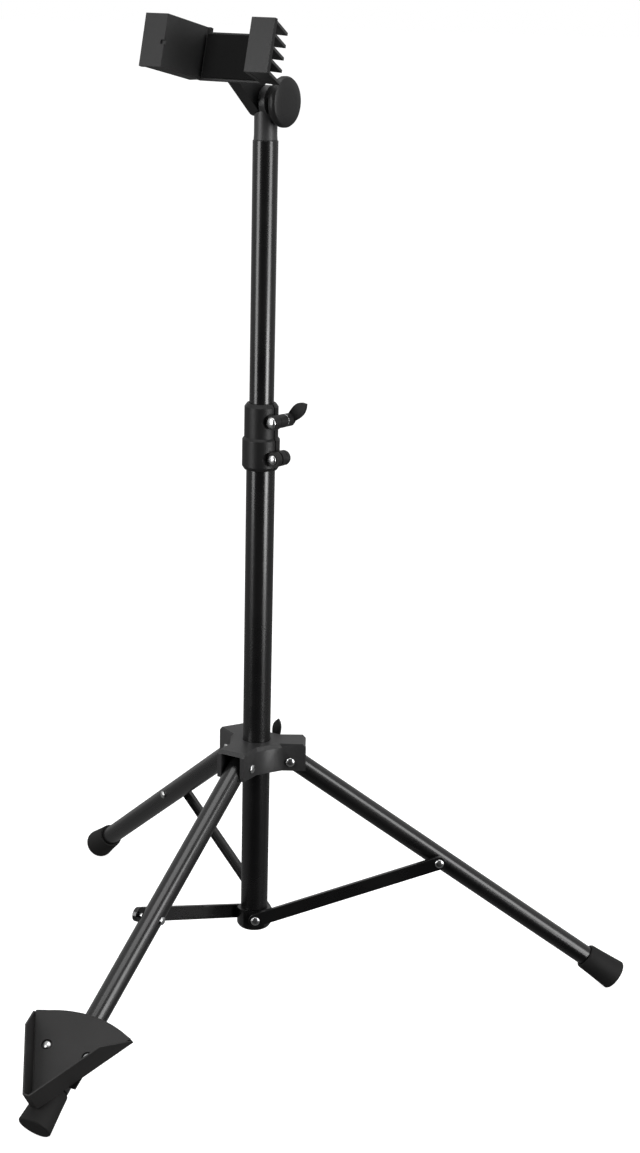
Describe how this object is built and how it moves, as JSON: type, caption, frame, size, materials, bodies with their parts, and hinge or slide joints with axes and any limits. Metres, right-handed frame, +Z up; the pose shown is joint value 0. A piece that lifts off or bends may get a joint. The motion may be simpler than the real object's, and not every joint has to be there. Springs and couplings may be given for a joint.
{
  "type": "folding instrument stand",
  "caption": "Folding tripod floor stand with a height-adjustable mast, a tilting V-shaped cradle at the top and a small walled tray on one leg for the instrument's lower end.",
  "frame": {"origin": "middle of the footprint's bounding box, on the floor; the mast's axis stands 83.9 mm behind it, towards +Y", "axes": "+Z up; -Y towards the leg that carries the tray, which is the front; +X to the right seen from the front"},
  "size_m": [0.618, 0.5411, 0.8584],
  "materials": {
    "powder_coat": "smooth glossy black powder coat on steel",
    "tray_coat": "satin black paint on folded sheet steel",
    "black_plastic": "satin black moulded nylon",
    "rubber": "matt black rubber",
    "zinc": "bright zinc-plated steel"
  },
  "bodies": {
    "lower_mast": {"lower_tube": "powder_coat", "base_bracket": "powder_coat", "height_clamp_sleeve": "black_plastic", "height_clamp_bolt": "zinc", "height_clamp_washer": "zinc", "sleeve_fixing_bolt": "zinc", "sleeve_cap_nut": "black_plastic", "base_rivet_front": "zinc", "base_rivet_right": "zinc", "base_rivet_left": "zinc"},
    "upper_mast": {"upper_tube": "powder_coat", "upper_tube_guide_plug": "black_plastic"},
    "neck": {"yoke": "black_plastic", "tilt_bolt": "zinc", "tilt_washer": "zinc"},
    "cradle": {"cradle": "black_plastic", "cradle_back_pad": "rubber"},
    "tilt_knob": {"tilt_knob": "black_plastic"},
    "height_wing_nut": {"height_wing_nut": "black_plastic"},
    "hub": {"hub": "black_plastic", "hub_rivet_front": "zinc", "hub_rivet_right": "zinc", "hub_rivet_left": "zinc"},
    "hub_lock_screw": {"hub_lock_screw": "black_plastic"},
    "leg_front": {"leg_front": "powder_coat", "foot_cap_front": "rubber", "leg_rivet_tail_front": "zinc", "tray": "tray_coat", "tray_mat": "rubber", "tray_saddle": "powder_coat", "tray_rivet_left": "zinc", "tray_rivet_right": "zinc"},
    "brace_front": {"brace_front": "powder_coat", "brace_rivet_front": "zinc"},
    "leg_right": {"leg_right": "powder_coat", "foot_cap_right": "rubber", "leg_rivet_tail_right": "zinc"},
    "brace_right": {"brace_right": "powder_coat", "brace_rivet_right": "zinc"},
    "leg_left": {"leg_left": "powder_coat", "foot_cap_left": "rubber", "leg_rivet_tail_left": "zinc"},
    "brace_left": {"brace_left": "powder_coat", "brace_rivet_left": "zinc"}
  },
  "joints": [
    {"name": "height_slide", "type": "slide", "parent": "lower_mast", "child": "upper_mast", "axis": [0, 0, 1], "range_m": [-0.2, 0.13]},
    {"name": "head_swivel", "type": "hinge", "parent": "upper_mast", "child": "neck", "pos_m": [0, 0.08394, 0.75], "axis": [0, 0, 1], "continuous": true},
    {"name": "cradle_tilt", "type": "hinge", "parent": "neck", "child": "cradle", "pos_m": [0, 0.08394, 0.794], "axis": [0.9971, -0.0767, 0], "range_deg": [-40, 8]},
    {"name": "tilt_knob_turn", "type": "hinge", "parent": "neck", "child": "tilt_knob", "pos_m": [0.01795, 0.08256, 0.794], "axis": [0.9971, -0.0767, 0], "continuous": true},
    {"name": "height_wing_turn", "type": "hinge", "parent": "lower_mast", "child": "height_wing_nut", "pos_m": [0.01917, 0.09477, 0.5357], "axis": [0.1736, 0.9848, 0], "continuous": true},
    {"name": "hub_slide", "type": "slide", "parent": "lower_mast", "child": "hub", "axis": [0, 0, 1], "range_m": [0, 0.1887]},
    {"name": "hub_lock_turn", "type": "hinge", "parent": "hub", "child": "hub_lock_screw", "pos_m": [0, 0.11394, 0.2336], "axis": [0, 1, 0], "continuous": true},
    {"name": "leg_front_fold", "type": "hinge", "parent": "hub", "child": "leg_front", "pos_m": [0, 0.05294, 0.2276], "axis": [1, 0, 0], "range_deg": [0, 53.51]},
    {"name": "leg_right_fold", "type": "hinge", "parent": "hub", "child": "leg_right", "pos_m": [0.02685, 0.09944, 0.2276], "axis": [-0.5, 0.866, 0], "range_deg": [0, 53.51]},
    {"name": "leg_left_fold", "type": "hinge", "parent": "hub", "child": "leg_left", "pos_m": [-0.02685, 0.09944, 0.2276], "axis": [-0.5, -0.866, 0], "range_deg": [0, 53.51]},
    {"name": "brace_front_fold", "type": "hinge", "parent": "lower_mast", "child": "brace_front", "pos_m": [0, 0.08244, 0.0694], "axis": [-1, 0, 0], "range_deg": [0, 58.63]},
    {"name": "brace_right_fold", "type": "hinge", "parent": "lower_mast", "child": "brace_right", "pos_m": [0.0013, 0.08469, 0.0694], "axis": [0.5, -0.866, 0], "range_deg": [0, 58.63]},
    {"name": "brace_left_fold", "type": "hinge", "parent": "lower_mast", "child": "brace_left", "pos_m": [-0.0013, 0.08469, 0.0694], "axis": [0.5, 0.866, 0], "range_deg": [0, 58.63]}
  ],
  "couplings": [
    {"joint": "leg_front_fold", "follows": "hub_slide", "rad_per_m": 4.9474},
    {"joint": "leg_right_fold", "follows": "hub_slide", "rad_per_m": 4.9474},
    {"joint": "leg_left_fold", "follows": "hub_slide", "rad_per_m": 4.9474},
    {"joint": "brace_front_fold", "follows": "hub_slide", "rad_per_m": 5.4217},
    {"joint": "brace_right_fold", "follows": "hub_slide", "rad_per_m": 5.4217},
    {"joint": "brace_left_fold", "follows": "hub_slide", "rad_per_m": 5.4217}
  ]
}
